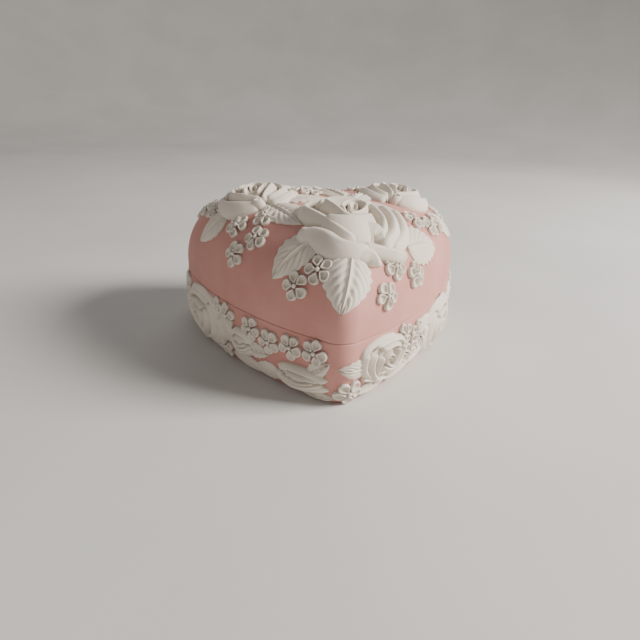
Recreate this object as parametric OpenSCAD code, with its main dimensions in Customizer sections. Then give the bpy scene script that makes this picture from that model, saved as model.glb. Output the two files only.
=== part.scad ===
// Heart-shaped trinket box: a hollow base, a domed lid that lifts off it, and white
// flowers, leaves and blossoms bonded to the outside of both as separate sprigs.
// Millimetres. The box stands on z = 0 with its pointed end towards -Y.

/* [Body] */
// Width of the bare heart across its two lobes
body_w = 114; // [104:1:124]
// Height of the base, from the table to the seam
base_h = 24; // [22:0.5:27]
// Height of the lid, from the seam to its crown
lid_h = 33; // [30:0.5:36]
// Thickness of the two shells
wall = 4; // [3.6:0.1:4.2]

/* [Locating lip] */
// How far the lid's lip hangs into the base
lip_drop = 3; // [2:0.1:4]
// Gap all round between the lip and the mouth of the base
lip_gap = 0.5; // [0.3:0.05:0.6]
// Thickness of the lip
lip_t = 2.2; // [1.8:0.1:2.4]

/* [Relief] */
// How far the lid's roses stand proud of the lid
lid_rose_h = 5.5; // [4:0.1:7]
// How far the base's roses stand proud of the wall
base_rose_h = 3.6; // [2:0.1:4.2]
// How far a leaf stands proud
leaf_h = 1.5; // [1:0.1:2]
// How far a blossom stands proud
blossom_h = 1.4; // [1:0.1:2]
// Radius of a blossom
blossom_r = 4.3; // [3:0.1:4.4]
// Depth that every sprig is let into the shell it is bonded to
bed = 0.4; // [0.3:0.05:0.5]

/* [Hidden] */
u = body_w / 114; // everything in plan keeps its share of the width

// Heart outline: a tip arc, a long side arc, a lobe arc and a notch fillet, each mirrored.
lobe_r = 30 * u;
lobe_c = [body_w / 2 - lobe_r, 23 * u];
tip_r = 8 * u;
tip_c = [0, -45 * u];
side_r = 136 * u;
notch_r = 3 * u;
mid = [0, 9 * u]; // plan point that the rings close in on

// Centre of the arc of radius side_r that both circles touch from inside.
function touching(a, ra, b, rb) =
    let (d = norm(b - a), k = (ra * ra - rb * rb + d * d) / (2 * d), v = (b - a) / d)
    a + k * v + sqrt(ra * ra - k * k) * [v.y, -v.x];
side_c = touching(lobe_c, side_r - lobe_r, tip_c, side_r - tip_r);
notch_c = [0, lobe_c.y + sqrt(pow(lobe_r + notch_r, 2) - pow(lobe_c.x, 2))];

function bearing(a, b) = atan2(b.y - a.y, b.x - a.x);
tip_a = bearing(side_c, tip_c);
lobe_a = bearing(side_c, lobe_c);
notch_a = bearing(lobe_c, notch_c);

// Each arc: centre, radius, first and last angle, steps, and +1 where the heart bulges or -1 where it dips.
arcs = [
    [tip_c, tip_r, -90, tip_a, 4, 1],
    [side_c, side_r, tip_a, lobe_a, 9, 1],
    [lobe_c, lobe_r, lobe_a, notch_a, 20, 1],
    [notch_c, notch_r, notch_a - 180, -90, 3, -1],
];
function arc_length(a) = a[1] * abs(a[3] - a[2]) * PI / 180;
function on_arc(a, share, inset) =
    let (t = a[2] + (a[3] - a[2]) * share)
    a[0] + (a[1] - a[5] * inset) * [cos(t), sin(t)];

// The outline moved inwards by inset, tip first, then right side, notch and left side.
function half_heart(inset) = [
    for (n = [0:3]) for (i = [0:arcs[n][4] - 1]) on_arc(arcs[n], i / arcs[n][4], inset),
    on_arc(arcs[3], 1, inset)
];
function heart(inset) =
    let (h = half_heart(inset), n = len(h))
    [for (p = h) p, for (i = [n - 2:-1:1]) [-h[i].x, h[i].y]];

// The point of the outline that is s along it from the tip, and positive s is the right side.
function walk(s, n) =
    let (l = arc_length(arcs[n]))
    s <= l || n == 3 ? on_arc(arcs[n], s / l, 0) : walk(s - l, n + 1);
function outline_at(s) = let (p = walk(abs(s), 0)) [s < 0 ? -p.x : p.x, p.y];
half_length = arc_length(arcs[0]) + arc_length(arcs[1]) + arc_length(arcs[2]) + arc_length(arcs[3]);

// ---- Outer surface of the closed box ----
foot_k = 0.93; // share of the outline that the foot keeps
foot_z = base_h - 5; // the wall is upright above this
wide_z = base_h + 4; // the lid is upright below this
crown_z = base_h + lid_h;
crown_n = 4; // how square the lid's shoulder is

function wall_k(z) = 1 - (1 - foot_k) * pow(max(0, (foot_z - z) / foot_z), 2);

// Distance from mid to the outline, in the direction of plan point p.
corner = [for (n = [0:2]) bearing(mid, on_arc(arcs[n], 1, 0))];
function reach(p) =
    let (d = [abs(p.x), p.y - mid.y] / norm([p.x, p.y - mid.y]), t = atan2(d.y, d.x))
    let (n = t < corner[0] ? 0 : t < corner[1] ? 1 : t < corner[2] ? 2 : 3)
    let (c = arcs[n][0] - mid, b = d * c)
    b + arcs[n][5] * sqrt(b * b - c * c + pow(arcs[n][1], 2));
function plan_k(p) = norm([p.x, p.y - mid.y]) / reach(p);

// Below zero inside the closed box, above zero outside it.
function skin(p) =
    pow(plan_k(p), crown_n) - pow(wall_k(p.z), crown_n)
    + pow(max(0, (p.z - wide_z) / (crown_z - wide_z)), 2);
probe = 0.02;
function normal(p) =
    let (s = skin(p))
    let (g = [skin(p + [probe, 0, 0]) - s, skin(p + [0, probe, 0]) - s, skin(p + [0, 0, probe]) - s])
    g / norm(g);
function settle(p, n, steps) =
    steps == 0 ? p
    : let (s = skin(p), slope = (skin(p + n * probe) - s) / probe)
      settle(p - n * max(-3, min(3, s / slope)), n, steps - 1);

// Where a sprig sits: on the lid at plan point [x, y], or on the wall at [s, z].
function lid_spot(x, y) =
    [x * u, y * u, wide_z + (crown_z - wide_z) * sqrt(1 - pow(plan_k([x, y] * u), crown_n))];
function wall_spot(s, z) =
    let (p = outline_at(s), k = wall_k(z))
    [p.x * k, mid.y + (p.y - mid.y) * k, z];

// ---- Solids built from rings ----
// Joins closed rings of equal length into a solid, with a point at each end.
module ringed(rings, first, last) {
    n = len(rings[0]);
    m = len(rings);
    points = [first, for (r = rings) for (p = r) p, last];
    function at(r, i) = 1 + r * n + i % n;
    polyhedron(points, [
        for (i = [0:n - 1]) [0, at(0, i), at(0, i + 1)],
        for (r = [0:m - 2]) for (i = [0:n - 1]) each [
            [at(r, i), at(r + 1, i), at(r + 1, i + 1)],
            [at(r, i), at(r + 1, i + 1), at(r, i + 1)]
        ],
        for (i = [0:n - 1]) [m * n + 1, at(m - 1, i + 1), at(m - 1, i)]
    ]);
}

// A shell whose section is a list of [inset, scale about mid, height].
function level(step) = [for (p = heart(step[0])) [
    p.x * step[1], mid.y + (p.y - mid.y) * step[1], step[2]
]];
module shell(section, first_z, last_z)
    ringed([for (s = section) level(s)], [mid.x, mid.y, first_z], [mid.x, mid.y, last_z]);

// ---- Base ----
floor_z = 4; // thickness of the bottom
floor_r = 2.5; // fillet between the floor and the inside wall
foot_r = 1.2; // rounding under the foot
rim_r = 0.5; // rounding of the seam edges

module base_shell() color("#dfb0a4") shell([
    [foot_r, foot_k, 0],
    [foot_r * 0.3, foot_k, foot_r * 0.3],
    for (z = [foot_r, 4, 8, 12, 16, foot_z]) [0, wall_k(z), z],
    [0, 1, base_h - rim_r],
    [rim_r, 1, base_h],
    [wall - rim_r, 1, base_h],
    [wall, 1, base_h - rim_r],
    for (z = [foot_z, 14, floor_z + floor_r]) [wall, wall_k(z), z],
    for (t = [30, 60, 90])
        [wall + floor_r * (1 - cos(t)), wall_k(floor_z), floor_z + floor_r * (1 - sin(t))]
], 0, floor_z);

// ---- Lid ----
lip_in = wall + lip_gap; // inset of the lip's outer face
ceiling_z = crown_z - wall;
function dome_k(share) = pow(cos(90 * share), 2 / crown_n);

module lid_shell() color("#dfb0a4") shell([
    for (t = [0.9:-0.15:0.1])
        [lip_in + lip_t, dome_k(t), wide_z + (ceiling_z - wide_z) * sin(90 * t)],
    [lip_in + lip_t, 1, wide_z],
    [lip_in + lip_t, 1, base_h - lip_drop + rim_r],
    [lip_in + lip_t - rim_r, 1, base_h - lip_drop],
    [lip_in + rim_r, 1, base_h - lip_drop],
    [lip_in, 1, base_h - lip_drop + rim_r],
    [lip_in, 1, base_h],
    [rim_r, 1, base_h],
    [0, 1, base_h + rim_r],
    [0, 1, wide_z],
    for (t = [0.08:0.08:0.96]) [0, dome_k(t), wide_z + (crown_z - wide_z) * sin(90 * t)]
], ceiling_z, crown_z);

// ---- Sprigs ----
// A sprig is drawn flat as rings of [along, across, height], then laid on the skin at spot.
// way is the direction it points in, in space.
function laid(q, spot, n, t) =
    let (p = settle(spot + q[0] * t + q[1] * cross(n, t), n, 5))
    p + normal(p) * q[2];
module sprig(rings, last, spot, way) {
    n = normal(spot);
    side = way - n * (n * way);
    t = side / norm(side);
    ringed(
        [for (r = rings) [for (q = r) laid(q, spot, n, t)]],
        laid([last[0], last[1], -bed], spot, n, t),
        laid(last, spot, n, t)
    );
}

// Leaf outline: widest a third of the way up, with a point at its tip.
leaf_steps = 6;
function leaf_ring(l, w, k, h) = [
    for (i = [0:2 * leaf_steps - 1])
        let (s = i <= leaf_steps ? i : 2 * leaf_steps - i, share = s / leaf_steps)
        [l * (share - 0.42) * (0.4 + 0.6 * k),
         (i <= leaf_steps ? -1 : 1) * k * w / 2 * sin(180 * pow(share, 0.75)), h]
];
module leaf(spot, way, l, w)
    color("#f1ece1") sprig(
        [leaf_ring(l, w, 1, -bed), leaf_ring(l, w, 1, leaf_h * 0.5), leaf_ring(l, w, 0.5, leaf_h * 0.8)],
        [0, 0, leaf_h], spot, way
    );

// Rose: five broad outer petals, the one at the front a little longer, stepping up to a bud.
// It is stretched by long in the direction it points.
rose_steps = [[1, 0.3], [0.84, 0.55], [0.66, 0.5], [0.52, 0.85], [0.3, 1]];
function rose_ring(r, long, k, h) = [
    for (t = [0:12:348])
        let (d = r * k * (0.95 + 0.05 * cos(5 * t)) * (1 + 0.08 * pow(max(0, cos(t)), 4)))
        [d * long * cos(t), d * sin(t), h]
];
module rose(spot, way, r, long, h)
    color("#f4efe5") sprig(
        [rose_ring(r, long, 1, -bed), for (s = rose_steps) rose_ring(r, long, s[0], s[1] * h)],
        [0, 0, 0.9 * h], spot, way
    );

// Blossom: five round petals about a raised eye.
function blossom_ring(k, h) = [
    for (t = [0:24:336])
        let (d = blossom_r * (1 - 0.3 * (1 - k) - 0.24 * k * (1 - pow(cos(2.5 * t), 2))) * k)
        [d * cos(t), d * sin(t), h]
];
module blossom(spot, way)
    color("#f4efe5") sprig(
        [blossom_ring(1, -bed), blossom_ring(1, blossom_h * 0.6), blossom_ring(0.3, blossom_h * 0.4)],
        [0, 0, blossom_h], spot, way
    );

function heading(t) = [cos(t), sin(t), 0];

// ---- Lid sprigs, in plan at a width of 114 ----
// Roses: name, x, y, heading, radius.
lid_roses = [
    ["front", 5.5, -25, -110, 18.5],
    ["left", -27, 7, 215, 14],
    ["right", 28, 14.5, 20, 13.5],
];
// Leaves: name, x, y, heading, length, width.
lid_leaves = [
    ["tip", 1, -47.6, -91, 19, 15],
    ["front_left", -14, -35.6, 207, 18.5, 13],
    ["front_right", 29.6, -21, 33, 21, 15],
    ["middle_low", -18, -12.8, -64, 24, 14],
    ["middle_high", -12.5, 2, 2, 20, 13],
    ["far_left", -42.4, 0.5, 190, 16, 13.5],
    ["far_right", 47, 9, 10, 17, 10],
    ["centre_left", 3, 15, 110, 20, 12],
    ["centre_right", 13, 8, 58, 18, 11],
    ["back_left", -37, 31, 128, 20, 12],
    ["back_right", 35, 36, 66, 20, 12],
    ["left_lobe", -18, 32, 84, 18, 11],
];
// Blossoms: name of the spray, then each flower's x, y.
lid_blossoms = [
    ["left_spray", [[-33.5, -11], [-26.5, -22], [-34, -19.6], [-23.6, -14.5]]],
    ["left_edge_spray", [[-46.5, 18.4], [-43, 9.6], [-49, 26.6]]],
    ["front_left_spray", [[-7.5, -43.6], [-14.2, -42]]],
    ["front_right_spray", [[17.2, -36.5], [14, -43.2], [26.4, -30.5]]],
    ["right_spray", [[37.5, -5.2], [29.8, -9.4], [42, 2.6], [46.8, 18.4], [47.9, 27.2]]],
    ["middle_spray", [[-6, 13], [-9.5, 21.4], [-2, 26.8]]],
    ["back_right_spray", [[20.4, 33.6], [24, 42.4], [14.6, 26.4]]],
    ["back_left_spray", [[-27.5, 25], [-25.5, 44.2], [-34.6, 44.6]]],
];

// ---- Base sprigs, as five clusters along each half of the wall ----
// Everything is placed by its distance along the wall from the tip, and its height.
// A cluster: rose [along, height, radius, stretch], its leaves [along, height, heading, length, width],
// and its blossoms [along, height]. Heading 0 points away from the tip, and 90 straight up.
function spread(s) = [
    [s, 11.8, 8.6, 1.15],
    [[s - 10, 5.8, 200, 14, 9], [s + 10, 17.2, 30, 14, 9], [s + 11, 6, -10, 15, 9]],
    [[s - 8.6, 19.2], [s - 16.6, 15], [s + 16.6, 11.6]]
];
base_left = [
    [
        [15, 7.6, 5.4, 1.8],
        [[9.6, 3, 184, 14, 4.8], [8.4, 13, 140, 10, 6], [29, 4.8, -8, 13, 7.5]],
        [[9.4, 19.3], [18.6, 18.4], [27.8, 17.2]]
    ],
    [
        [42, 12, 5.8, 1],
        [[34.6, 11, 168, 12, 6.5], [41.6, 3.9, 184, 18, 6.4], [52.4, 13.6, 70, 13, 9.5]],
        [[36.8, 19.2], [50.4, 19.3], [54.6, 5]]
    ],
    [
        [73, 12, 10.6, 1.7],
        [[60, 3.8, 186, 12, 6], [94, 17.4, 24, 12, 8.5], [94, 5.8, -10, 12, 8]],
        [[57.6, 19.3], [89, 19.4]]
    ],
    spread(112.5), spread(154)
];
base_right = [
    [
        [18.6, 13.4, 8.6, 1.25],
        [[5.8, 14.4, 176, 10.5, 7.6], [12.6, 3.6, 2, 13, 5.8], [29, 4.6, 6, 16, 7.4]],
        [[3.2, 5.4], [28.4, 19.3], [37.8, 17.4]]
    ],
    [
        [62, 12.2, 10.6, 1.5],
        [[43, 18.2, 14, 12, 8], [42.4, 7, 190, 15, 8.6], [82.6, 17.4, 28, 12, 8.5]],
        [[33.6, 10.6], [43.4, 12.8], [80.6, 5.2]]
    ],
    spread(101.5), spread(143.5),
    [[169, 8.6, 6.2, 1], [[170, 18, 15, 9.5, 7], [163.4, 14.2, 165, 10, 6.5]], [[163, 19.3]]]
];
sides = [["left", -1, base_left], ["right", 1, base_right]];

// Direction along the wall, away from the tip, turned upwards by t.
function wall_way(spot, side, t) =
    let (n = normal(spot), a = side * cross([0, 0, 1], n))
    cos(t) * a / norm(a) + [0, 0, sin(t)];

module base_rose(c, side)
    let (spot = wall_spot(side * c[0][0] * u, c[0][1]))
    rose(spot, wall_way(spot, side, 184), c[0][2], c[0][3], base_rose_h);
module base_leaves(c, side)
    for (l = c[1])
        let (spot = wall_spot(side * l[0] * u, l[1]))
        leaf(spot, wall_way(spot, side, l[2]), l[3], l[4]);
module base_blossoms(c, side)
    for (b = c[2])
        let (spot = wall_spot(side * b[0] * u, b[1]))
        blossom(spot, wall_way(spot, side, 90));

// ---- Nodes ----
clusters = [0:4];

base_shell();
lid_shell();
for (r = lid_roses)
    rose(lid_spot(r[1], r[2]), heading(r[3]), r[4] * u, 1, lid_rose_h);
for (l = lid_leaves)
    leaf(lid_spot(l[1], l[2]), heading(l[3]), l[4] * u, l[5] * u);
for (b = lid_blossoms)
    for (p = b[1]) blossom(lid_spot(p[0], p[1]), heading(bearing(mid, p)));
for (s = sides) for (i = clusters) {
    base_rose(s[2][i], s[1]);
    base_leaves(s[2][i], s[1]);
    base_blossoms(s[2][i], s[1]);
}
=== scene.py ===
import bpy
import bmesh
import math
import random
from mathutils import Matrix, Vector
from mathutils.bvhtree import BVHTree
from mathutils.interpolate import poly_3d_calc


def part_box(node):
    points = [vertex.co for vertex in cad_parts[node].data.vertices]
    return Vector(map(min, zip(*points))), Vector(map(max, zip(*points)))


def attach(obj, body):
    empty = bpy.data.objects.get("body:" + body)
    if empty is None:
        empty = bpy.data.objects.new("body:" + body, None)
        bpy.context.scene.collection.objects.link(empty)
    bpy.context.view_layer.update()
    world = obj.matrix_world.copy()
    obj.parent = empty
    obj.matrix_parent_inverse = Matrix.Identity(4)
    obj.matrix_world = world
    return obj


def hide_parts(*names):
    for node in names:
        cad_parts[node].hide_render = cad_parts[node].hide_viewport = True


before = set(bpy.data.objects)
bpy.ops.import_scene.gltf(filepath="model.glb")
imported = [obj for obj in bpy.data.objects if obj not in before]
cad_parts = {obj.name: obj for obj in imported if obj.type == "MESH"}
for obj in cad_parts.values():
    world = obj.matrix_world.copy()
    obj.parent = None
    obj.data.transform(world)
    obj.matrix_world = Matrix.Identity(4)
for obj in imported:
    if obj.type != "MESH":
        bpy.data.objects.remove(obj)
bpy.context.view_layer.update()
print("frame loaded:", len(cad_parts), "nodes")

mm = 0.001
baseLow, baseHigh = (Vector(c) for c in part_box("base_shell"))
lidLow, lidHigh = (Vector(c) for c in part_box("lid_shell"))
tipReach = 53 # how far the point of the heart is in front of the origin, in units
unit = -baseLow.y / tipReach


def newPiece(nodeName, bm, body, material, sharp):
    # a visible piece that stands for the CAD node of that name, with edges over the sharp angle kept crisp
    mesh = bpy.data.meshes.new("visual_" + nodeName)
    for face in bm.faces:
        face.smooth = True
    bm.to_mesh(mesh)
    bm.free()
    mesh.set_sharp_from_angle(angle=math.radians(sharp))
    mesh.materials.append(material)
    piece = bpy.data.objects.new("visual_" + nodeName, mesh)
    bpy.context.scene.collection.objects.link(piece)
    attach(piece, body)
    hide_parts(nodeName)


def growRing(bm, loop, edges, points):
    # extrudes a closed ring and puts the new one at the given points, in the same order
    grown = bmesh.ops.extrude_edge_only(bm, edges=edges)["geom"]
    fresh = {g for g in grown if isinstance(g, bmesh.types.BMVert)}
    partner = {}
    for vert in fresh:
        for edge in vert.link_edges:
            other = edge.other_vert(vert)
            if other not in fresh:
                partner[other] = vert
    newLoop = [partner[vert] for vert in loop]
    for vert, point in zip(newLoop, points):
        vert.co = point
    newEdges = [g for g in grown if isinstance(g, bmesh.types.BMEdge)
                and g.verts[0] in fresh and g.verts[1] in fresh]
    return newLoop, newEdges


def loftRings(bm, rings):
    # a closed skin through rings of equal length, capped at both ends
    loop = bmesh.ops.create_circle(bm, segments=len(rings[0]), radius=1, cap_ends=False)["verts"]
    edges = list({edge for vert in loop for edge in vert.link_edges})
    for vert, point in zip(loop, rings[0]):
        vert.co = point
    bmesh.ops.contextual_create(bm, geom=edges)
    for ring in rings[1:]:
        loop, edges = growRing(bm, loop, edges, ring)
    bmesh.ops.contextual_create(bm, geom=edges)


def smoothLine(points, count):
    # an even run of points along a soft curve through the given ones
    found = []
    last = len(points) - 1
    for step in range(count):
        share = step / (count - 1) * last
        i = min(int(share), last - 1)
        t = share - i
        a, b, c, d = (points[max(0, min(last, i + k))] for k in (-1, 0, 1, 2))
        found.append(0.5 * (2 * b + (c - a) * t + (2 * a - 5 * b + 4 * c - d) * t * t
                            + (3 * b - a - 3 * c + d) * t ** 3))
    return found


heart = {
    "tip": (0, -45, 8), # centre x, centre y and radius of each arc, in units
    "lobe": (27, 23, 30),
    "sideRadius": 136,
    "notchRadius": 3,
    "middle": (0, 9),
    "steps": (14, 40, 76, 10), # tip, side, lobe, notch
    "weld": 0.001,
}
shells = {
    "wall": 4.0,
    "rimRound": 0.45,
    "footRound": 1.2,
    "footShare": 0.93, # how wide the foot is, as a share of the seam
    "footDrop": 5, # how far under the seam the wall starts to narrow
    "wideRise": 4, # how far over the seam the dome starts
    "domePower": 0.5,
    "floor": 4.0,
    "floorFillet": 2.5,
    "lipGap": 0.5,
    "lipThick": 2.2,
    "sharp": 50,
}
seamZ = baseHigh.z / unit
lipZ = lidLow.z / unit
crownZ = lidHigh.z / unit
footTop = seamZ - shells["footDrop"]
wideZ = seamZ + shells["wideRise"]


def bearing(a, b):
    return math.atan2(b.y - a.y, b.x - a.x)


def halfKey(point):
    # names a point of the outline and its mirror image alike
    return round(abs(point.x), 5), round(point.y, 5)


def drawHeart(bm):
    # half the outline is spun arc by arc from the tip, then mirrored
    tip = Vector((heart["tip"][0], heart["tip"][1], 0))
    lobe = Vector((heart["lobe"][0], heart["lobe"][1], 0))
    tipR, lobeR = heart["tip"][2], heart["lobe"][2]
    sideR, notchR = heart["sideRadius"], heart["notchRadius"]
    ra, rb = sideR - lobeR, sideR - tipR
    gap = (tip - lobe).length
    along = (ra * ra - rb * rb + gap * gap) / (2 * gap)
    way = (tip - lobe) / gap
    side = lobe + way * along + Vector((way.y, -way.x, 0)) * math.sqrt(ra * ra - along * along)
    notch = Vector((0, lobe.y + math.sqrt((lobeR + notchR) ** 2 - lobe.x ** 2), 0))
    tipTurn = bearing(side, tip) + math.pi / 2
    sideTurn = bearing(side, lobe) - bearing(side, tip)
    lobeTurn = bearing(lobe, notch) - bearing(side, lobe)
    notchTurn = -(bearing(lobe, notch) - math.pi / 2)
    arcs = [(tip, tipTurn, 1), (side, sideTurn, 1), (lobe, lobeTurn, 1), (notch, notchTurn, -1)]
    last = bm.verts.new((0, tip.y - tipR, 0))
    outward = {halfKey(last.co): Vector((0, -1, 0))}
    done = 1
    for (centre, turn, sign), steps in zip(arcs, heart["steps"]):
        spun = bmesh.ops.spin(bm, geom=[last], cent=centre, axis=(0, 0, 1), angle=turn, steps=steps)
        bm.verts.ensure_lookup_table()
        for vert in bm.verts[done:]:
            outward[halfKey(vert.co)] = (vert.co - centre).normalized() * sign
        done = len(bm.verts)
        last = [g for g in spun["geom_last"] if isinstance(g, bmesh.types.BMVert)][0]
    last.co.x = 0
    outward[halfKey(last.co)] = Vector((0, 1, 0))
    bmesh.ops.mirror(bm, geom=bm.verts[:] + bm.edges[:], matrix=Matrix(), merge_dist=heart["weld"], axis="X")
    bmesh.ops.remove_doubles(bm, verts=bm.verts[:], dist=heart["weld"])
    loop = [min(bm.verts, key=lambda v: v.co.y)]
    ahead = [e.other_vert(loop[0]) for e in loop[0].link_edges]
    loop.append(max(ahead, key=lambda v: v.co.x))
    while len(loop) < len(bm.verts):
        beside = [e.other_vert(loop[-1]) for e in loop[-1].link_edges]
        loop.append([vert for vert in beside if vert is not loop[-2]][0])
    normals = []
    for vert in loop:
        here = halfKey(vert.co)
        nearest = min(outward, key=lambda k: abs(k[0] - here[0]) + abs(k[1] - here[1]))
        found = outward[nearest]
        normals.append(Vector((found.x * (1 if vert.co.x >= 0 else -1), found.y, 0)))
    return loop, bm.edges[:], [v.co.copy() for v in loop], normals


def shellPiece(nodeName, body, levels, material):
    # levels is a list of inset, scale about the middle, and height, from one cap to the other;
    # what is given back is the skin that the sprigs are laid on
    bm = bmesh.new()
    loop, edges, outline, normals = drawHeart(bm)
    middle = Vector((heart["middle"][0], heart["middle"][1], 0))

    def place(level):
        inset, share, z = level
        return [(middle + (p - n * inset - middle) * share + Vector((0, 0, z))) * unit
                for p, n in zip(outline, normals)]
    for vert, point in zip(loop, place(levels[0])):
        vert.co = point
    bmesh.ops.contextual_create(bm, geom=edges)
    for level in levels[1:]:
        loop, edges = growRing(bm, loop, edges, place(level))
    bmesh.ops.contextual_create(bm, geom=edges)
    bmesh.ops.recalc_face_normals(bm, faces=bm.faces[:])
    bm.normal_update()
    bm.faces.ensure_lookup_table()
    skin = {
        "tree": BVHTree.FromBMesh(bm),
        "corners": [[v.co.copy() for v in f.verts] for f in bm.faces],
        "normals": [[v.normal.copy() for v in f.verts] for f in bm.faces],
    }
    newPiece(nodeName, bm, body, material, shells["sharp"])
    return skin


def wallShare(z):
    return 1 - (1 - shells["footShare"]) * max(0, (footTop - z) / footTop) ** 2


def domeShare(t):
    return math.cos(t) ** shells["domePower"]


def evenly(a, b, count):
    return [a + (b - a) * i / (count - 1) for i in range(count)]


def quarter(count):
    return [math.radians(90 * i / (count - 1)) for i in range(count)]


def baseLevels():
    wall, rim, foot = shells["wall"], shells["rimRound"], shells["footRound"]
    floorZ, fillet, narrow = shells["floor"], shells["floorFillet"], shells["footShare"]
    found = []
    for t in quarter(6):
        rise = 1 - math.cos(t)
        found.append((foot * (1 - math.sin(t)), narrow + (wallShare(foot) - narrow) * rise, foot * rise))
    found += [(0, wallShare(z), z) for z in evenly(foot + 1, footTop, 17)]
    found += [(0, 1, z) for z in evenly(footTop + 1, seamZ - rim, 5)]
    found += [(rim * (1 - math.cos(t)), 1, seamZ - rim + rim * math.sin(t)) for t in quarter(5)[1:]]
    found += [(wall - rim + rim * math.sin(t), 1, seamZ - rim + rim * math.cos(t)) for t in quarter(5)]
    found += [(wall, wallShare(z), z) for z in evenly(footTop, floorZ + fillet, 10)]
    for t in quarter(7)[1:]:
        z = floorZ + fillet * (1 - math.sin(t))
        found.append((wall + fillet * (1 - math.cos(t)), wallShare(z), z))
    return found


def domeLevels(inset, top, start, end, count):
    # the dome's height follows a sine and its width the dome's own power of the cosine
    found = []
    for t in [math.radians(a) for a in evenly(start, end, count)]:
        found.append((inset, domeShare(t), wideZ + (top - wideZ) * math.sin(t)))
    return found


def lidLevels():
    wall, rim, lipT = shells["wall"], shells["rimRound"], shells["lipThick"]
    lipOut = wall + shells["lipGap"]
    lipIn = lipOut + lipT
    found = domeLevels(0, crownZ, 89.99, 0, 54)
    found += [(0, 1, z) for z in evenly(wideZ - 1, seamZ + rim, 4)]
    found += [(rim * (1 - math.cos(t)), 1, seamZ + rim - rim * math.sin(t)) for t in quarter(5)[1:]]
    found += [(lipOut, 1, seamZ), (lipOut, 1, lipZ + rim)]
    found += [(lipOut + rim * (1 - math.cos(t)), 1, lipZ + rim - rim * math.sin(t)) for t in quarter(4)[1:]]
    found += [(lipIn - rim + rim * math.sin(t), 1, lipZ + rim - rim * math.cos(t)) for t in quarter(4)]
    found += [(lipIn, 1, wideZ)]
    return found + domeLevels(lipIn, crownZ - wall, 4, 84, 18)


def nodeGroup(name, inputs, outputs):
    group = bpy.data.node_groups.new(name, "ShaderNodeTree")
    for label, kind, value in inputs:
        socket = group.interface.new_socket(name=label, in_out="INPUT", socket_type=kind)
        socket.default_value = value
    for label, kind in outputs:
        group.interface.new_socket(name=label, in_out="OUTPUT", socket_type=kind)
    return group, group.nodes.new("NodeGroupInput"), group.nodes.new("NodeGroupOutput")


def mathNode(tree, operation, a, b):
    node = tree.nodes.new("ShaderNodeMath")
    node.operation = operation
    for socket, value in zip(node.inputs, (a, b)):
        if isinstance(value, (int, float)):
            socket.default_value = value
        else:
            tree.links.new(value, socket)
    return node.outputs[0]


def mixColour(tree, factor, a, b):
    node = tree.nodes.new("ShaderNodeMix")
    node.data_type = "RGBA"
    for socket, value in ((node.inputs[0], factor), (node.inputs[6], a), (node.inputs[7], b)):
        if isinstance(value, tuple):
            socket.default_value = value
        else:
            tree.links.new(value, socket)
    return node.outputs[2]


def noiseNode(tree, vector, scale, detail=4, rough=0.5):
    node = tree.nodes.new("ShaderNodeTexNoise")
    node.inputs["Scale"].default_value = scale
    node.inputs["Detail"].default_value = detail
    node.inputs["Roughness"].default_value = rough
    tree.links.new(vector, node.inputs["Vector"])
    return node.outputs["Fac"]


def rangeNode(tree, value, low, high, outLow=0.0, outHigh=1.0):
    node = tree.nodes.new("ShaderNodeMapRange")
    node.interpolation_type = "SMOOTHSTEP"
    tree.links.new(value, node.inputs["Value"])
    for label, number in (("From Min", low), ("From Max", high), ("To Min", outLow), ("To Max", outHigh)):
        node.inputs[label].default_value = number
    return node.outputs["Result"]


grainScales = {"fine": 2600, "middle": 620, "slow": 42, "pits": 320, "rare": 150} # per metre


def grainGroup():
    # the fine tooth of unglazed clay, with a few pinholes, and slow cloudy mottling; the pinhole mask is
    # given out too, to paint shade into the pinholes
    group, into, out = nodeGroup(
        "bisqueGrain",
        [("Vector", "NodeSocketVector", (0, 0, 0)),
         ("Fine", "NodeSocketFloat", 1.0),
         ("Pits", "NodeSocketFloat", 0.5)],
        [("Height", "NodeSocketFloat"), ("Mottle", "NodeSocketFloat"), ("PitMask", "NodeSocketFloat")])
    vector = into.outputs["Vector"]
    fine = noiseNode(group, vector, grainScales["fine"], 3, 0.6)
    middle = noiseNode(group, vector, grainScales["middle"], 4, 0.55)
    slow = noiseNode(group, vector, grainScales["slow"], 5, 0.55)
    pitField = group.nodes.new("ShaderNodeTexVoronoi")
    pitField.inputs["Scale"].default_value = grainScales["pits"]
    group.links.new(vector, pitField.inputs["Vector"])
    pits = rangeNode(group, pitField.outputs["Distance"], 0.06, 0.16, 1.0, 0.0)
    rare = rangeNode(group, noiseNode(group, vector, grainScales["rare"], 2), 0.56, 0.66)
    pits = mathNode(group, "MULTIPLY", pits, rare)
    height = mathNode(group, "ADD", mathNode(group, "MULTIPLY", fine, into.outputs["Fine"]), middle)
    height = mathNode(group, "SUBTRACT", height, mathNode(group, "MULTIPLY", pits, into.outputs["Pits"]))
    group.links.new(height, out.inputs["Height"])
    group.links.new(slow, out.inputs["Mottle"])
    group.links.new(pits, out.inputs["PitMask"])
    return group


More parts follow.
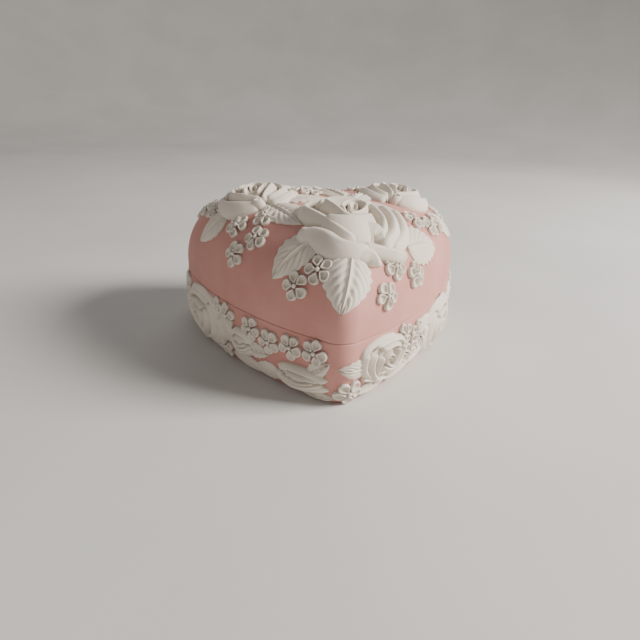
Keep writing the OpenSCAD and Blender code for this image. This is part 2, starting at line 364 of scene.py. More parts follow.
def hollowGroup():
    # painted shade: a darker tint of the clay in the hollows, where ambient occlusion is low; and paler sharp
    # convex edges
    group, into, out = nodeGroup(
        "paintedHollowShade",
        [("Colour", "NodeSocketColor", (1, 1, 1, 1)),
         ("HollowShadeColour", "NodeSocketColor", (0.3, 0.3, 0.25, 1)),
         ("Amount", "NodeSocketFloat", 0.5),
         ("EdgeColour", "NodeSocketColor", (1, 1, 1, 1)),
         ("EdgeAmount", "NodeSocketFloat", 0.2)],
        [("Colour", "NodeSocketColor")])
    # painted shade: ambient occlusion finds the hollows, and they are darkened
    shade = group.nodes.new("ShaderNodeAmbientOcclusion")
    shade.samples = 8
    shade.inputs["Distance"].default_value = 3.2 * mm
    hollow = rangeNode(group, shade.outputs["AO"], 0.25, 0.95, 1.0, 0.0)
    geometry = group.nodes.new("ShaderNodeNewGeometry")
    # sharp convex edges, found by pointiness, are made paler
    edge = rangeNode(group, geometry.outputs["Pointiness"], 0.505, 0.56)
    shadedHollows = mathNode(group, "MULTIPLY", hollow, into.outputs["Amount"])
    colour = mixColour(group, shadedHollows, into.outputs["Colour"], into.outputs["HollowShadeColour"])
    paleEdges = mathNode(group, "MULTIPLY", edge, into.outputs["EdgeAmount"])
    colour = mixColour(group, paleEdges, colour, into.outputs["EdgeColour"])
    group.links.new(colour, out.inputs["Colour"])
    return group


def clayMaterial(name, look, grain, hollowShade):
    material = bpy.data.materials.new(name)
    material.use_nodes = True
    tree = material.node_tree
    shader = tree.nodes["Principled BSDF"]
    place = tree.nodes.new("ShaderNodeTexCoord")
    tooth = tree.nodes.new("ShaderNodeGroup")
    tooth.node_tree = grain
    tree.links.new(place.outputs["Object"], tooth.inputs["Vector"])
    tooth.inputs["Fine"].default_value = look["fine"]
    tooth.inputs["Pits"].default_value = look["pits"]
    cloudy = rangeNode(tree, tooth.outputs["Mottle"], 0.3, 0.7)
    colour = mixColour(tree, cloudy, look["deep"], look["pale"])
    # painted shade in the pinholes: the clay is darkened where the pits are
    pitShade = mathNode(tree, "MULTIPLY", tooth.outputs["PitMask"], look["pitShadeAmount"])
    colour = mixColour(tree, pitShade, colour, look["pitShadeColour"])
    # painted shade in the hollows, and paler sharp convex edges
    hollowShading = tree.nodes.new("ShaderNodeGroup")
    hollowShading.node_tree = hollowShade
    tree.links.new(colour, hollowShading.inputs["Colour"])
    hollowShading.inputs["HollowShadeColour"].default_value = look["hollowShade"]
    hollowShading.inputs["Amount"].default_value = look["hollowShadeAmount"]
    hollowShading.inputs["EdgeColour"].default_value = look["edgeColour"]
    hollowShading.inputs["EdgeAmount"].default_value = look["edgeAmount"]
    tree.links.new(hollowShading.outputs["Colour"], shader.inputs["Base Color"])
    rough = mathNode(tree, "ADD", mathNode(tree, "MULTIPLY", cloudy, look["roughSpread"]), look["rough"])
    tree.links.new(rough, shader.inputs["Roughness"])
    bump = tree.nodes.new("ShaderNodeBump")
    bump.inputs["Strength"].default_value = look["bump"]
    bump.inputs["Distance"].default_value = 0.12 * mm
    tree.links.new(tooth.outputs["Height"], bump.inputs["Height"])
    tree.links.new(bump.outputs["Normal"], shader.inputs["Normal"])
    shader.inputs["Specular IOR Level"].default_value = look["specular"]
    shader.inputs["Sheen Weight"].default_value = look["sheen"]
    shader.inputs["Sheen Roughness"].default_value = 0.6
    return material


pinkLook = {
    "pale": (0.7, 0.345, 0.3, 1), "deep": (0.62, 0.285, 0.25, 1), # the two ends of the mottling
    # painted shade colour and strength for the pinholes
    "pitShadeColour": (0.33, 0.15, 0.11, 1), "pitShadeAmount": 0.35,
    # painted shade colour and strength for the hollows
    "hollowShade": (0.36, 0.19, 0.16, 1), "hollowShadeAmount": 0.45,
    # paler colour and strength for sharp convex edges
    "edgeColour": (0.72, 0.47, 0.41, 1), "edgeAmount": 0.25,
    "rough": 0.55, "roughSpread": 0.08, "specular": 0.28, "sheen": 0.0,
    "bump": 0.35, "fine": 0.7, "pits": 0.5,
}
whiteLook = {
    "pale": (0.87, 0.785, 0.69, 1), "deep": (0.8, 0.71, 0.61, 1),
    # painted shade colour and strength for the pinholes
    "pitShadeColour": (0.5, 0.42, 0.33, 1), "pitShadeAmount": 0.3,
    # painted shade colour and strength for the hollows
    "hollowShade": (0.37, 0.325, 0.275, 1), "hollowShadeAmount": 0.6,
    # paler colour and strength for sharp convex edges
    "edgeColour": (0.9, 0.86, 0.79, 1), "edgeAmount": 0.35,
    "rough": 0.6, "roughSpread": 0.1, "specular": 0.3, "sheen": 0.05,
    "bump": 0.45, "fine": 0.9, "pits": 0.6,
}
grain = grainGroup()
# the group that paints shade into the hollows and makes sharp edges paler
hollowShade = hollowGroup()
pinkClay = clayMaterial("pinkBisque", pinkLook, grain, hollowShade)
whiteClay = clayMaterial("whiteBisque", whiteLook, grain, hollowShade)
print("materials made")

skins = {
    "base": shellPiece("base_shell", "base", baseLevels(), pinkClay),
    "lid": shellPiece("lid_shell", "lid", lidLevels(), pinkClay),
}
print("shells made")

castHeight = 30 * mm # from how far above the skin a sprig is let down on it


def skinNormal(skin, location, index):
    weights = poly_3d_calc(skin["corners"][index], location)
    total = Vector()
    for weight, normal in zip(weights, skin["normals"][index]):
        total += normal * weight
    return total.normalized()


def layOn(bm, skin, spot, normal, along):
    # each vert's x and y are followed across the skin, and its z is the height above it
    along = (along - normal * along.dot(normal)).normalized()
    across = normal.cross(along)
    for vert in bm.verts:
        start = spot + along * vert.co.x + across * vert.co.y + normal * castHeight
        location, _, index, _ = skin["tree"].ray_cast(start, -normal)
        if location is None or (location - start).length > 2 * castHeight:
            location, _, index, _ = skin["tree"].find_nearest(start - normal * castHeight)
        vert.co = location + skinNormal(skin, location, index) * vert.co.z


def cadSprigs(nodeName):
    # the separate solids of a CAD node: centre, both ends of the longest axis, and all points;
    # the base of a leaf is the end that its centre of area is nearer to
    bm = bmesh.new()
    bm.from_mesh(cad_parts[nodeName].data)
    bmesh.ops.remove_doubles(bm, verts=bm.verts[:], dist=1e-6)
    found, seen = [], set()
    for start in bm.verts:
        if start in seen:
            continue
        part, queue = [], [start]
        seen.add(start)
        while queue:
            vert = queue.pop()
            part.append(vert)
            for edge in vert.link_edges:
                other = edge.other_vert(vert)
                if other not in seen:
                    seen.add(other)
                    queue.append(other)
        faces = {face for vert in part for face in vert.link_faces}
        area = sum(face.calc_area() for face in faces)
        centre = sum((face.calc_center_median() * face.calc_area() for face in faces), Vector()) / area
        points = [vert.co.copy() for vert in part]
        ends = max(((a, b) for a in points for b in points), key=lambda p: (p[0] - p[1]).length)
        half = (ends[0] + ends[1]) / 2
        base, tip = ends if (half - centre).dot(ends[1] - half) > 0 else ends[::-1]
        found.append({"centre": centre, "base": base, "tip": tip, "points": points})
    bm.free()
    return found


def seat(skin, point):
    location, _, index, _ = skin["tree"].find_nearest(point)
    return location, skinNormal(skin, location, index)


def skirt(bm, depth):
    # closes an open relief face with a side wall and a hidden bottom
    rim = [e for e in bm.edges if e.is_boundary]
    grown = bmesh.ops.extrude_edge_only(bm, edges=rim)["geom"]
    for g in grown:
        if isinstance(g, bmesh.types.BMVert):
            g.co.z = -depth
    bottom = [g for g in grown if isinstance(g, bmesh.types.BMEdge) and g.is_boundary]
    bmesh.ops.contextual_create(bm, geom=bottom)
    bmesh.ops.recalc_face_normals(bm, faces=bm.faces[:])


def softStep(value, low, high):
    t = max(0.0, min(1.0, (value - low) / (high - low)))
    return t * t * (3 - 2 * t)


leafLook = {
    "lidHeight": 1.6 * mm, "baseHeight": 1.5 * mm,
    "lengthSteps": 72, "widthSteps": 26,
    "toothGap": 3.0 * mm, # between notches along each edge
    "slant": 3.0, # how many notches a side vein runs forward
    "toothDepth": 0.08,
    "fewest": 5, # notches
    "ribHeight": 0.55, # of the leaf's height
    "lobeHeight": 0.38,
    "edge": 0.36,
    "bend": 0.09, # the most that the middle is off the line from base to tip, of the width
    "lean": 0.12, # the most that one half differs from the other
    "bed": 0.4 * mm,
    "weld": 0.02 * mm,
    "sharp": 55,
}


def leafSprig(length, width, height, bend, teeth, seed):
    # side veins run from the rib to the notches, with a rounded lobe between each two
    rng = random.Random(seed)
    bm = bmesh.new()
    bmesh.ops.create_grid(bm, x_segments=leafLook["lengthSteps"], y_segments=leafLook["widthSteps"], size=0.5)
    lean = rng.uniform(-leafLook["lean"], leafLook["lean"])
    for vert in bm.verts:
        u = vert.co.x + 0.5
        v = vert.co.y * 2
        outline = max(0.0, math.sin(math.pi * u ** 0.74)) ** 0.78 # broadest two fifths of the way along
        slant = leafLook["slant"] + 2 * lean * (1 if v > 0 else -1)
        part = (u * teeth - slant) % 1.0
        notch = 0.5 + 0.5 * math.cos(math.tau * part ** 0.8)
        notch *= softStep(abs(v), 0.5, 1.0) * softStep(u, 0.05, 0.25) # only by the edge, and not at the base
        outline *= 1 - leafLook["toothDepth"] * notch
        half = max(0.003, outline) * width / 2
        between = (u * teeth - abs(v) * slant) % 1.0 # from one side vein to the next
        lobe = math.sin(math.pi * between ** 0.75) ** 0.8
        body = leafLook["edge"] + (1 - leafLook["edge"]) * (1 - abs(v) ** 2.2)
        side = softStep(abs(v), 0.06, 0.22)
        h = body * (0.5 + leafLook["lobeHeight"] * lobe * side)
        h -= 0.2 * math.exp(-((abs(v) - 0.18) / 0.08) ** 2) # a groove on both sides of the rib
        h += leafLook["ribHeight"] * math.exp(-(v / 0.07) ** 2) * (1 - 0.5 * u)
        h *= 0.5 + 0.5 * math.sin(math.pi * min(1, max(0, u))) ** 0.5
        y = v * half + bend * width * math.sin(math.pi * u) - bend * width * 0.5
        vert.co = Vector(((u - 0.5) * length, y, h * height * (1 + 0.3 * v * lean)))
    bmesh.ops.remove_doubles(bm, verts=bm.verts[:], dist=leafLook["weld"])
    skirt(bm, leafLook["bed"])
    return bm


def leafPiece(nodeName, body, height, seed):
    whole = bmesh.new()
    for i, part in enumerate(cadSprigs(nodeName)):
        middle = (part["base"] + part["tip"]) / 2
        spot, normal = seat(skins[body], middle)
        along = part["tip"] - part["base"]
        along -= normal * along.dot(normal)
        across = normal.cross(along.normalized())
        sides = [(p - middle).dot(across) for p in part["points"]]
        width = max(sides) - min(sides)
        teeth = max(leafLook["fewest"], round(along.length / leafLook["toothGap"]))
        bend = random.Random(seed + i).uniform(-leafLook["bend"], leafLook["bend"])
        bm = leafSprig(along.length, width, height, bend, teeth, seed * 7 + i)
        layOn(bm, skins[body], spot, normal, along)
        addTo(whole, bm)
    newPiece(nodeName, whole, body, whiteClay, leafLook["sharp"])


def addTo(whole, bm):
    # joins a finished sprig to the others of its node
    mesh = bpy.data.meshes.new("spare")
    bm.to_mesh(mesh)
    bm.free()
    whole.from_mesh(mesh)
    bpy.data.meshes.remove(mesh)


blossomLook = {
    "height": 1.45 * mm,
    "grow": 1.07, # its radius, of the CAD blossom's
    "petals": 5,
    "around": 16,
    "petalLength": 0.83, # of the blossom's radius
    "petalWidth": 0.77,
    "eye": 0.16,
    "narrow": 0.38, # width of a petal's inner end, of its outer end
    "eyeRise": 0.78, # of the height
    # rings of a petal from its buried edge, over the raised rim, into its hollow: size and height
    "rings": [
        (0.95, -0.25), (1.0, 0.3), (0.98, 0.66), (0.92, 0.91), (0.83, 1.0),
        (0.73, 0.94), (0.63, 0.72), (0.52, 0.48), (0.32, 0.32), (0.12, 0.28),
    ],
    "sharp": 60,
}


def blossomSprig(radius, height, turn, seed):
    rng = random.Random(seed)
    bm = bmesh.new()
    for k in range(blossomLook["petals"]):
        heading = turn + math.tau * k / blossomLook["petals"] + rng.uniform(-0.12, 0.12)
        length = radius * blossomLook["petalLength"] * rng.uniform(0.95, 1.06)
        width = radius * blossomLook["petalWidth"] * rng.uniform(0.88, 1.05)
        start = radius - length
        lift = rng.uniform(0.85, 1.0)
        rings = []
        for share, level in blossomLook["rings"]:
            ring = []
            for i in range(blossomLook["around"]):
                t = math.tau * i / blossomLook["around"]
                narrow = blossomLook["narrow"]
                narrow += (1 - narrow) * softStep(math.cos(t), -1, 0.25) # teardrop, narrow at the eye
                x = length / 2 * (math.cos(t) * share + 0.06 * (1 - share))
                y = width / 2 * 1.08 * math.sin(t) * share * narrow
                rise = 1.0 - 0.12 * math.cos(t) if share > 0.6 else 1.0
                ring.append(Vector((start + length / 2 + x, y, level * height * lift * rise)))
            rings.append(ring)
        spin = Matrix.Rotation(heading, 3, "Z")
        loftRings(bm, [[spin @ p for p in ring] for ring in rings])
    eye = bmesh.ops.create_icosphere(bm, subdivisions=2, radius=radius * blossomLook["eye"])["verts"]
    bmesh.ops.translate(bm, verts=eye, vec=(0, 0, height * blossomLook["eyeRise"]))
    bmesh.ops.recalc_face_normals(bm, faces=bm.faces[:])
    return bm


def blossomPiece(nodeName, body, seed):
    whole = bmesh.new()
    facing = Vector((0.3, 0.2, 1)) if body == "base" else Vector((1, 0.1, 0))
    for i, part in enumerate(cadSprigs(nodeName)):
        spot, normal = seat(skins[body], part["centre"])
        radius = max((p - part["centre"]).length for p in part["points"])
        turn = random.Random(seed + i).uniform(0, 1.26)
        bm = blossomSprig(radius * blossomLook["grow"], blossomLook["height"], turn, seed * 11 + i)
        layOn(bm, skins[body], spot, normal, facing)
        addTo(whole, bm)
    newPiece(nodeName, whole, body, whiteClay, blossomLook["sharp"])


# Each petal is drawn by its rim, with the rose's radius as 1, and its outer side is on the rim's right hand.
# "reach" is how far out its foot stands, "high" how high the rim is, of the rose's height, and "wall" how
# thick it is. One number holds all along, three are for the start, the middle and the end. A petal with
# "face" leans out and shows a broad smooth side, and the others are ridges.
fullRose = [
    { # back, outermost
        "rim": [(0.98, 0.3), (0.9, 0.68), (0.5, 0.92), (0.05, 0.98), (-0.35, 0.92)],
        "reach": 0.16, "high": 0.42, "wall": 0.08,
    },
    { # back, second
        "rim": [(0.6, 0.78), (0.22, 0.84), (-0.3, 0.84), (-0.68, 0.72), (-0.9, 0.4)],
        "reach": 0.16, "high": 0.6, "wall": 0.08,
    },
    { # back, third
        "rim": [(0.36, 0.6), (0.05, 0.68), (-0.3, 0.66), (-0.56, 0.5)],
        "reach": 0.15, "high": 0.84, "wall": 0.08,
    },
    { # right, outermost
        "rim": [(0.52, -0.62), (0.7, -0.42), (0.86, -0.21), (0.96, 0.0), (0.98, 0.34), (0.9, 0.6)],
        "reach": 0.17, "high": 0.58, "wall": 0.08,
    },
    { # right, second
        "rim": [(0.29, -0.7), (0.46, -0.48), (0.62, -0.25), (0.7, 0.0), (0.7, 0.25), (0.6, 0.56)],
        "reach": 0.19, "high": 0.8, "wall": 0.08,
    },
    { # the curl under the front petal
        "rim": [(-0.3, -0.86), (-0.12, -0.88), (0.04, -0.87), (0.13, -0.91), (0.17, -1.0)],
        "reach": 0.14, "high": (0.5, 0.56, 0.5), "wall": 0.09,
    },
    { # the lip at the lower right
        "rim": [(-0.06, -0.79), (0.1, -0.75), (0.35, -0.71), (0.57, -0.65), (0.77, -0.57), (0.88, -0.59)],
        "reach": (0.1, 0.12, 0.14), "high": (0.62, 0.62, 0.52), "wall": 0.07,
    },
    { # the broad front petal
        "rim": [
            (-0.92, -0.1), (-0.89, -0.26), (-0.75, -0.34), (-0.6, -0.52),
            (-0.49, -0.72), (-0.36, -0.82), (-0.16, -0.84), (0.12, -0.74),
        ],
        "reach": (0.14, 0.26, 0.16), "high": (0.6, 0.66, 0.62), "wall": 0.08, "face": True,
    },
    { # left, tall
        "rim": [
            (-0.8, 0.46), (-0.8, 0.3), (-0.71, 0.1), (-0.55, -0.22),
            (-0.45, -0.44), (-0.34, -0.62), (-0.2, -0.76),
        ],
        "reach": 0.16, "high": (0.8, 0.88, 0.66), "wall": 0.08,
    },
    { # right, innermost
        "rim": [(0.27, -0.54), (0.38, -0.34), (0.44, -0.14), (0.44, 0.04), (0.4, 0.2), (0.32, 0.38)],
        "reach": 0.15, "high": (0.7, 0.95, 0.95), "wall": 0.07,
    },
    { # front of the heart
        "rim": [
            (-0.54, -0.14), (-0.42, -0.28), (-0.24, -0.32),
            (-0.06, -0.25), (0.1, -0.15), (0.27, -0.04),
        ],
        "reach": (0.24, 0.48, 0.3), "high": 0.96, "wall": 0.05, "face": True,
    },
    { # lower front of the heart
        "rim": [(-0.22, -0.37), (0.0, -0.33), (0.14, -0.32), (0.26, -0.35), (0.34, -0.45), (0.35, -0.6)],
        "reach": (0.3, 0.34, 0.2), "high": (0.8, 0.87, 0.6), "wall": 0.05, "face": True,
    },
    { # left of the heart
        "rim": [
            (-0.44, 0.48), (-0.42, 0.36), (-0.38, 0.14),
            (-0.33, -0.05), (-0.26, -0.19), (-0.12, -0.28),
        ],
        "reach": 0.13, "high": (1.0, 1.0, 0.92), "wall": 0.08,
    },
    { # coil in the middle
        "rim": [
            (0.2, 0.12), (0.22, 0.26), (0.1, 0.38), (-0.06, 0.36),
            (-0.2, 0.2), (-0.26, 0.02), (-0.22, -0.12),
        ],
        "reach": 0.09, "high": 1.0, "wall": 0.05,
    },
    { # coil, front
        "rim": [(-0.22, -0.18), (-0.08, -0.14), (0.05, -0.05), (0.15, 0.06), (0.19, 0.18)],
        "reach": 0.1, "high": 1.0, "wall": 0.05,
    },
    { # coil, inner end
        "rim": [(0.08, 0.2), (0.0, 0.26), (-0.1, 0.16), (-0.12, 0.04)],
        "reach": 0.06, "high": 0.94, "wall": 0.04,
    },
]
bowlRose = [
    { # back, outermost
        "rim": [(0.9, 0.3), (0.76, 0.66), (0.36, 0.92), (-0.1, 0.96), (-0.5, 0.82)],
        "reach": 0.16, "high": 0.46, "wall": 0.09,
    },
    { # back, second
        "rim": [(0.5, 0.66), (0.1, 0.8), (-0.36, 0.72), (-0.7, 0.42)],
        "reach": 0.16, "high": 0.66, "wall": 0.09,
    },
    { # right, outermost
        "rim": [(0.2, -0.96), (0.5, -0.82), (0.78, -0.5), (0.93, -0.1), (0.9, 0.34)],
        "reach": 0.2, "high": (0.4, 0.54, 0.4), "wall": 0.08,
    },
    { # right, second
        "rim": [(0.14, -0.8), (0.38, -0.7), (0.62, -0.4), (0.7, 0.0), (0.68, 0.4), (0.5, 0.66)],
        "reach": 0.2, "high": (0.6, 0.76, 0.7), "wall": 0.08,
    },
    { # the broad front petal
        "rim": [(-0.82, 0.5), (-0.8, 0.1), (-0.68, -0.32), (-0.46, -0.66), (-0.26, -0.82), (-0.04, -0.88)],
        "reach": (0.16, 0.3, 0.2), "high": (0.62, 0.74, 0.6), "wall": 0.08, "face": True,
    },
    { # left, tall
        "rim": [(-0.4, 0.5), (-0.52, 0.2), (-0.5, -0.14), (-0.34, -0.42), (-0.16, -0.6), (0.06, -0.78)],
        "reach": 0.16, "high": (0.9, 0.94, 0.72), "wall": 0.08,
    },
    { # right of the heart
        "rim": [(0.08, -0.84), (0.16, -0.62), (0.3, -0.36), (0.42, -0.08), (0.46, 0.16), (0.36, 0.42)],
        "reach": 0.18, "high": (0.7, 0.95, 0.9), "wall": 0.07,
    },
    { # behind the heart
        "rim": [(0.28, 0.36), (0.04, 0.5), (-0.24, 0.44), (-0.36, 0.2)],
        "reach": 0.12, "high": 0.88, "wall": 0.07,
    },
    { # the heart
        "rim": [
            (-0.02, -0.5), (0.12, -0.3), (0.22, -0.04), (0.16, 0.16),
            (0.02, 0.22), (-0.14, 0.12), (-0.24, -0.1), (-0.26, -0.3),
        ],
        "reach": 0.13, "high": 1.0, "wall": 0.06,
    },
    { # coil in the middle
        "rim": [(0.06, -0.1), (0.03, 0.04), (-0.06, 0.04), (-0.12, -0.08)],
        "reach": 0.06, "high": 0.96, "wall": 0.04,
    },
    { # the rolled end of the front petal
        "rim": [(0.08, -0.8), (-0.03, -0.76), (-0.13, -0.83), (-0.12, -0.93), (-0.01, -0.97), (0.07, -0.9)],
        "reach": 0.09, "high": 0.64, "wall": 0.05,
    },
]
# a half-open bud lying on its side, pointing along its x axis
budRose = [
    { # front, outer
        "rim": [(-0.86, 0.1), (-0.8, -0.3), (-0.4, -0.62), (0.1, -0.66), (0.6, -0.5), (0.98, -0.2)],
        "reach": 0.3, "high": (0.5, 0.66, 0.5), "wall": 0.14, "face": True,
    },
    { # back, outer
        "rim": [(1.0, 0.16), (0.6, 0.52), (0.1, 0.7), (-0.4, 0.66), (-0.84, 0.34)],
        "reach": 0.26, "high": (0.5, 0.7, 0.5), "wall": 0.14,
    },
    { # front, inner
        "rim": [(-0.66, 0.02), (-0.5, -0.24), (-0.1, -0.36), (0.4, -0.3), (0.84, -0.02)],
        "reach": 0.28, "high": (0.7, 0.9, 0.6), "wall": 0.12, "face": True,
    },
    { # back, inner
        "rim": [(0.84, 0.26), (0.4, 0.36), (-0.05, 0.34), (-0.5, 0.2)],
        "reach": 0.22, "high": (0.6, 0.92, 0.7), "wall": 0.12,
    },
    { # the fold in the middle
        "rim": [(-0.5, 0.0), (-0.2, -0.1), (0.2, -0.08), (0.6, 0.08)],
        "reach": 0.2, "high": (0.8, 1.0, 0.7), "wall": 0.1,
    },
]
roseLook = {
    "stations": 36,
    "taper": 0.12, # the share of a petal's rim that slopes down at each end
    "endReach": 0.35, "endHigh": 0.2, "endWall": 0.3, # what is left of each at the very end
    "waver": 0.04, # of a rim's height
    # from foot to rim on the outside: distance, and height as a share of the rim's
    "ridge": [
        (0.0, 0.0), (0.07, 0.26), (0.18, 0.45), (0.34, 0.61), (0.52, 0.74),
        (0.69, 0.84), (0.83, 0.92), (0.94, 0.98), (1.0, 1.0),
    ],
    "face": [
        (0.0, 0.1), (0.1, 0.3), (0.24, 0.48), (0.4, 0.63), (0.56, 0.76),
        (0.71, 0.86), (0.84, 0.93), (0.94, 0.985), (1.0, 1.0),
    ],
    # behind the rim: how far in wall thicknesses, and height as a share of the rim's
    "inside": [
        (0.3, 0.985), (0.6, 0.92), (0.9, 0.79), (1.2, 0.61), (1.55, 0.45), (1.9, 0.34), (2.0, 0.0),
    ],
    "bed": 0.4 * mm,
    # the low cushion under the petals: size and height
    "cushion": [
        (0.9, -0.08), (0.9, 0.03), (0.85, 0.09), (0.74, 0.16),
        (0.58, 0.26), (0.4, 0.42), (0.2, 0.58), (0.08, 0.62),
    ],
    "cushionSteps": 60,
    "sharp": 70,
}


def alongRim(value, t):
    # a single value, or one for the start, the middle and the end
    if not isinstance(value, tuple):
        return value
    start, middle, end = value
    return start + (middle - start) * softStep(t, 0, 0.5) + (end - middle) * softStep(t, 0.5, 1)


def petalRows(petal, radius, height, wobble):
    # the cross-sections of a petal from one end of its rim to the other
    count = roseLook["stations"]
    rim = smoothLine([Vector(p) for p in petal["rim"]], count)
    profile = roseLook["face" if petal.get("face") else "ridge"]
    rows = []
    for i, r in enumerate(rim):
        t = i / (count - 1)
        tangent = rim[min(count - 1, i + 1)] - rim[max(0, i - 1)]
        outward = Vector((tangent.y, -tangent.x)).normalized()
        ease = math.sin(math.pi / 2 * min(1, t / roseLook["taper"], (1 - t) / roseLook["taper"])) ** 0.6
        reach, high, wall = (alongRim(petal[k], t) for k in ("reach", "high", "wall"))
        reach *= roseLook["endReach"] + (1 - roseLook["endReach"]) * ease
        wall *= roseLook["endWall"] + (1 - roseLook["endWall"]) * ease
        high *= height * (roseLook["endHigh"] + (1 - roseLook["endHigh"]) * ease)
        high *= 1 + roseLook["waver"] * math.sin(t * 7 + wobble)
        flat = [(r + outward * reach * (1 - share), high * level) for share, level in profile]
        flat += [(r - outward * wall * share, high * level) for share, level in roseLook["inside"]]
        flat += [(flat[-1][0], -roseLook["bed"]), (flat[0][0], -roseLook["bed"])]
        rows.append([Vector((p.x * radius, p.y * radius, z)) for p, z in flat])
    return rows


def roseSprig(layout, radius, stretch, height, mirror, seed):
    rng = random.Random(seed)
    bm = bmesh.new()
    count = roseLook["cushionSteps"]
    cushion = []
    for share, level in roseLook["cushion"]:
        ring = []
        for i in range(count):
            t = math.tau * i / count
            d = radius * share * (0.93 + 0.035 * math.cos(5 * t + 0.8)) # in five slight lobes
            ring.append(Vector((d * math.cos(t), d * math.sin(t), level * height)))
        cushion.append(ring)
    loftRings(bm, cushion)
    for petal in layout:
        loftRings(bm, petalRows(petal, radius, height, rng.uniform(0, 6)))
    bmesh.ops.scale(bm, verts=bm.verts[:], vec=(-stretch if mirror else stretch, 1, 1))
    bmesh.ops.recalc_face_normals(bm, faces=bm.faces[:])
    return bm


def rosePiece(nodeName, body, layout, size, height, mirror, right, seed):
    part = cadSprigs(nodeName)[0]
    spot, normal = seat(skins[body], part["centre"])
    along = (right - normal * right.dot(normal)).normalized()
    spans = []
    for way in (along, normal.cross(along)):
        reached = [way.dot(p) for p in part["points"]]
        spans.append(max(reached) - min(reached))
    radius = min(spans) / 2 * size
    stretch = max(1.0, spans[0] / spans[1])
    bm = roseSprig(layout, radius, stretch, height, mirror, seed)
    layOn(bm, skins[body], spot, normal, right)
    newPiece(nodeName, bm, body, whiteClay, roseLook["sharp"])


# "right" is the way that the rose's own x axis points, and "size" the share of the CAD rose that it fills
lidRoses = {
    "lid_rose_front": {
        "layout": fullRose, "size": 0.98, "height": 5.5 * mm, "mirror": False,
        "right": Vector((1, 0.12, 0)), "seed": 1,
    },
    "lid_rose_left": {
        "layout": bowlRose, "size": 1.0, "height": 5.4 * mm, "mirror": False,
        "right": Vector((1, 0.2, 0)), "seed": 2,
    },
    "lid_rose_right": {
        "layout": bowlRose, "size": 1.0, "height": 5.4 * mm, "mirror": True,
        "right": Vector((1, -0.3, 0)), "seed": 3,
    },
}
baseRoses = {
    "height": 3.6 * mm,
    "tilt": 0.06, # how far their own x axes are off level
    "buds": ("base_rose_left_1", "base_rose_left_2", "base_rose_right_5"),
}


def nodesNamed(*starts):
    return sorted(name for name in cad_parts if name.startswith(starts))


def bodyOf(nodeName):
    return "lid" if nodeName.startswith("lid") else "base"


for nodeName, settings in lidRoses.items():
    rosePiece(nodeName, "lid", **settings)
for count, nodeName in enumerate(nodesNamed("base_rose")):
    onLeft = "left" in nodeName
    spot, normal = seat(skins["base"], cadSprigs(nodeName)[0]["centre"])
    level = Vector((0, 0, 1)).cross(normal)
    tilt = Vector((0, 0, baseRoses["tilt"] if onLeft else -baseRoses["tilt"]))
    layout = budRose if nodeName in baseRoses["buds"] else fullRose if count % 2 else bowlRose
    rosePiece(nodeName, "base", layout, 1.0, baseRoses["height"], not onLeft, level + tilt, 20 + count)
print("roses made")

for count, nodeName in enumerate(nodesNamed("lid_leaf", "base_leaves")):
    height = leafLook["lidHeight" if bodyOf(nodeName) == "lid" else "baseHeight"]
    leafPiece(nodeName, bodyOf(nodeName), height, 100 + 10 * count)
print("leaves made")

sprays = sorted(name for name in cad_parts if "spray" in name or "blossoms" in name)
for count, nodeName in enumerate(sprays):
    blossomPiece(nodeName, bodyOf(nodeName), 500 + 10 * count)
print("blossoms made")


studio = {
    "flat": 0.8, # radius of the level part
    "bend": 0.7, # radius of the sweep that the level part rises in
    "wall": 0.5,
    "around": 96,
    "weld": 0.1 * mm,
    "dark": (0.68, 0.67, 0.655, 1), "light": (0.73, 0.72, 0.705, 1),
    "air": (0.86, 0.87, 0.9, 1), "airStrength": 0.1,
    "aim": Vector((0, 0, 0.03)), # what the lamps point at
}
lamps = {
    "keyLight": {"spot": (0.78, -0.16, 0.52), "size": 0.35, "power": 17, "colour": (1.0, 0.95, 0.88)},
    "fillLight": {"spot": (-0.6, -0.6, 0.6), "size": 0.8, "power": 0.6, "colour": (0.95, 0.97, 1.0)},
    "backLight": {"spot": (0.1, 0.7, 0.8), "size": 0.6, "power": 1.3, "colour": (1.0, 0.98, 0.95)},
}


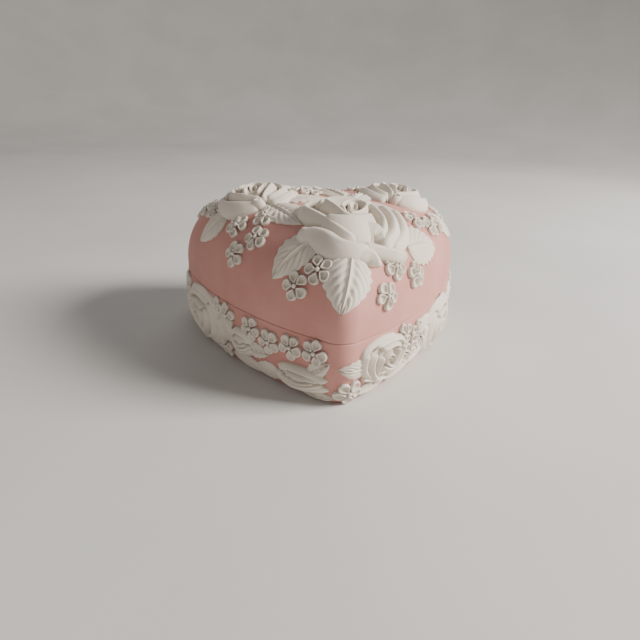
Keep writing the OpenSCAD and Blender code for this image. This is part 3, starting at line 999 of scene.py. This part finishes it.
def studioFloor():
    # a round pale floor that sweeps up into a low wall, spun from its section
    bm = bmesh.new()
    line = [bm.verts.new((0, 0, 0)), bm.verts.new((studio["flat"], 0, 0))]
    bm.edges.new(line)
    bend = bmesh.ops.spin(bm, geom=[line[1]], cent=(studio["flat"], 0, studio["bend"]), axis=(0, -1, 0),
                          angle=math.pi / 2, steps=16)
    top = [g for g in bend["geom_last"] if isinstance(g, bmesh.types.BMVert)][0]
    bm.edges.new((top, bm.verts.new(top.co + Vector((0, 0, studio["wall"])))))
    bmesh.ops.spin(bm, geom=bm.verts[:] + bm.edges[:], cent=(0, 0, 0), axis=(0, 0, 1), angle=math.tau,
                   steps=studio["around"])
    bmesh.ops.remove_doubles(bm, verts=bm.verts[:], dist=studio["weld"])
    bmesh.ops.recalc_face_normals(bm, faces=bm.faces[:])
    bmesh.ops.reverse_faces(bm, faces=bm.faces[:])
    for face in bm.faces:
        face.smooth = True
    mesh = bpy.data.meshes.new("studioFloor")
    bm.to_mesh(mesh)
    bm.free()
    material = bpy.data.materials.new("paleFloor")
    material.use_nodes = True
    tree = material.node_tree
    shader = tree.nodes["Principled BSDF"]
    place = tree.nodes.new("ShaderNodeTexCoord")
    soft = rangeNode(tree, noiseNode(tree, place.outputs["Object"], 9, 3), 0.3, 0.7)
    tree.links.new(mixColour(tree, soft, studio["dark"], studio["light"]), shader.inputs["Base Color"])
    shader.inputs["Roughness"].default_value = 0.8
    mesh.materials.append(material)
    floor = bpy.data.objects.new("studioFloor", mesh)
    bpy.context.scene.collection.objects.link(floor)


def softBox(name, spot, size, power, colour):
    light = bpy.data.lights.new(name, "AREA")
    light.shape = "SQUARE"
    light.size = size
    light.energy = power
    light.color = colour
    lamp = bpy.data.objects.new(name, light)
    lamp.location = spot
    lamp.rotation_euler = (studio["aim"] - Vector(spot)).to_track_quat("-Z", "Y").to_euler()
    bpy.context.scene.collection.objects.link(lamp)


studioFloor()
for name, settings in lamps.items():
    softBox(name, **settings)
world = bpy.data.worlds.new("studio")
world.use_nodes = True
world.node_tree.nodes["Background"].inputs["Color"].default_value = studio["air"]
world.node_tree.nodes["Background"].inputs["Strength"].default_value = studio["airStrength"]
bpy.context.scene.world = world

view = {
    "spot": Vector((-21.6, -181.3, 91.4)) * mm,
    "way": Vector((0.0989, 0.9040, -0.4160)),
    "roll": 2.47,
    "lens": 27.17,
}
camera = bpy.data.objects.new("camera", bpy.data.cameras.new("camera"))
camera.data.lens = view["lens"]
camera.data.sensor_width = 36
camera.data.clip_start = 0.01
camera.location = view["spot"]
aimed = view["way"].to_track_quat("-Z", "Y").to_matrix()
camera.rotation_euler = (aimed @ Matrix.Rotation(math.radians(view["roll"]), 3, "Z")).to_euler()
bpy.context.scene.collection.objects.link(camera)
bpy.context.scene.camera = camera
print("studio ready")
